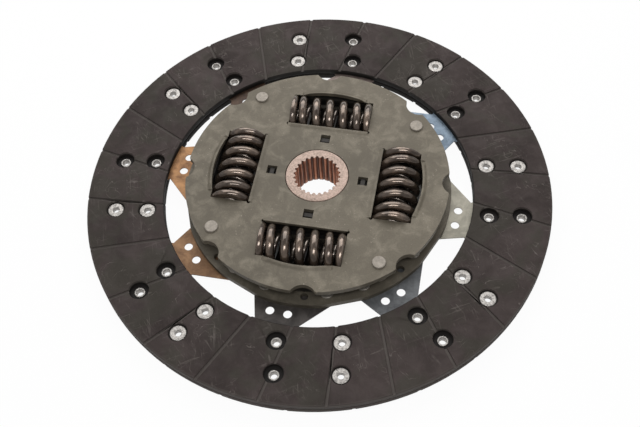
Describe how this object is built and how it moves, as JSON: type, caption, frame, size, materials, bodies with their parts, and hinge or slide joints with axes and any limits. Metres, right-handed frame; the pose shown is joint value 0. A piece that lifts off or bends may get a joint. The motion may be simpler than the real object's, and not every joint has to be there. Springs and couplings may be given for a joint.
{
  "type": "clutch disc",
  "caption": "Dry clutch disc: two riveted friction linings on cushion segments, a coil-spring torsion damper and a splined hub that turns against it.",
  "frame": {"origin": "on the hub's axis, in the middle of the cushion sheet between the two linings", "axes": "+Z along the hub's axis, out of the damper's cover plate; the damper springs lie square to X and Y"},
  "size_m": [0.24, 0.24, 0.0253],
  "materials": {
    "friction_lining": "dark brown-grey woven friction lining, dry and matt",
    "lining_rivet": "bright tubular steel rivets with fine scratches",
    "cushion_steel_blue": "spring steel with a steel-blue temper colour",
    "cushion_steel_bronze": "spring steel with an orange-brown temper colour",
    "cushion_steel_grey": "spring steel with a grey temper colour",
    "plate_steel": "olive-grey phosphated sheet steel",
    "rivet_steel": "phosphated steel rivets",
    "hub_steel": "machined hub with a pinkish beige face and red-brown teeth",
    "spring_steel": "dark bronze shot-peened spring steel, oily gloss",
    "friction_plastic": "dark friction plastic"
  },
  "bodies": {
    "disc": {"front_lining": "friction_lining", "rear_lining": "friction_lining", "front_lining_rivets": "lining_rivet", "rear_lining_rivets": "lining_rivet", "cushion_segment_1": "cushion_steel_blue", "cushion_segment_2": "cushion_steel_bronze", "cushion_segment_3": "cushion_steel_bronze", "cushion_segment_4": "cushion_steel_bronze", "cushion_segment_5": "cushion_steel_bronze", "cushion_segment_6": "cushion_steel_grey", "cushion_segment_7": "cushion_steel_blue", "cushion_segment_8": "cushion_steel_grey", "segment_rivets": "rivet_steel", "back_plate": "plate_steel", "cover_plate": "plate_steel", "stop_pins": "rivet_steel", "rear_friction_bush": "friction_plastic", "front_friction_washer": "friction_plastic", "pressure_ring": "plate_steel", "cone_spring": "spring_steel"},
    "hub": {"splined_hub": "hub_steel", "hub_flange": "plate_steel"},
    "springs": {"damper_spring_1": "spring_steel", "damper_spring_2": "spring_steel", "damper_spring_3": "spring_steel", "damper_spring_4": "spring_steel", "inner_spring_1": "spring_steel", "inner_spring_2": "spring_steel", "inner_spring_3": "spring_steel", "inner_spring_4": "spring_steel"}
  },
  "joints": [
    {"name": "damper_turn", "type": "hinge", "parent": "disc", "child": "hub", "pos_m": [0, 0, 0], "axis": [0, 0, 1], "range_deg": [-12, 8], "stiffness_Nm_per_rad": 5, "deforming": ["damper_spring_1", "damper_spring_2", "damper_spring_3", "damper_spring_4", "inner_spring_1", "inner_spring_2", "inner_spring_3", "inner_spring_4"]},
    {"name": "spring_follow", "type": "hinge", "parent": "disc", "child": "springs", "pos_m": [0, 0, 0], "axis": [0, 0, 1], "range_deg": [-6, 4]}
  ],
  "couplings": [
    {"joint": "spring_follow", "follows": "damper_turn", "ratio": 0.5}
  ]
}
